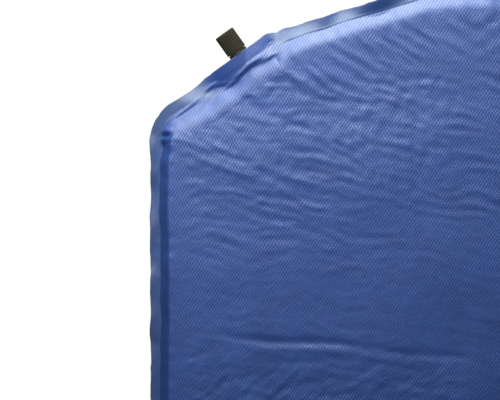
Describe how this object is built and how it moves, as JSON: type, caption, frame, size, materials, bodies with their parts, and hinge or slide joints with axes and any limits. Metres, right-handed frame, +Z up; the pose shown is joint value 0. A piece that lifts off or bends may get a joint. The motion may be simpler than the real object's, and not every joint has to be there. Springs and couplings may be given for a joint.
{
  "type": "self-inflating camping mat",
  "caption": "Foam-core sleeping mat with welded cover sheets, chamfered head end and a ribbed screw valve on one head corner.",
  "frame": {"origin": "centre of the underside, half way along the mat, on the floor", "axes": "+Z up, +Y along the mat to the head end, +X to the side away from the valve"},
  "size_m": [0.6, 1.9, 0.03],
  "materials": {
    "top_fabric": "fine woven polyester, blue",
    "under_fabric": "woven polyester, dark blue",
    "foam": "open-cell polyurethane foam",
    "valve_body": "moulded nylon, near black",
    "seal": "moulded rubber",
    "cap": "moulded nylon, dark olive grey"
  },
  "bodies": {
    "mattress": {"top_cover": "top_fabric", "bottom_cover": "under_fabric", "foam_core": "foam", "valve_base": "valve_body", "valve_stem": "valve_body", "stem_o_ring": "seal", "plug_seal": "seal"},
    "washer": {"cap_washer": "seal"},
    "cap": {"valve_cap": "cap"}
  },
  "joints": [
    {"name": "cap_lift", "type": "slide", "parent": "mattress", "child": "washer", "axis": [-0.5835, 0.8121, 0], "range_m": [0, 0.00501]},
    {"name": "cap_turn", "type": "hinge", "parent": "washer", "child": "cap", "pos_m": [-0.21847, 0.88407, 0.015], "axis": [-0.5835, 0.8121, 0], "range_deg": [0, 360]}
  ],
  "couplings": [
    {"joint": "cap_lift", "follows": "cap_turn", "m_per_rad": 0.00079577}
  ]
}
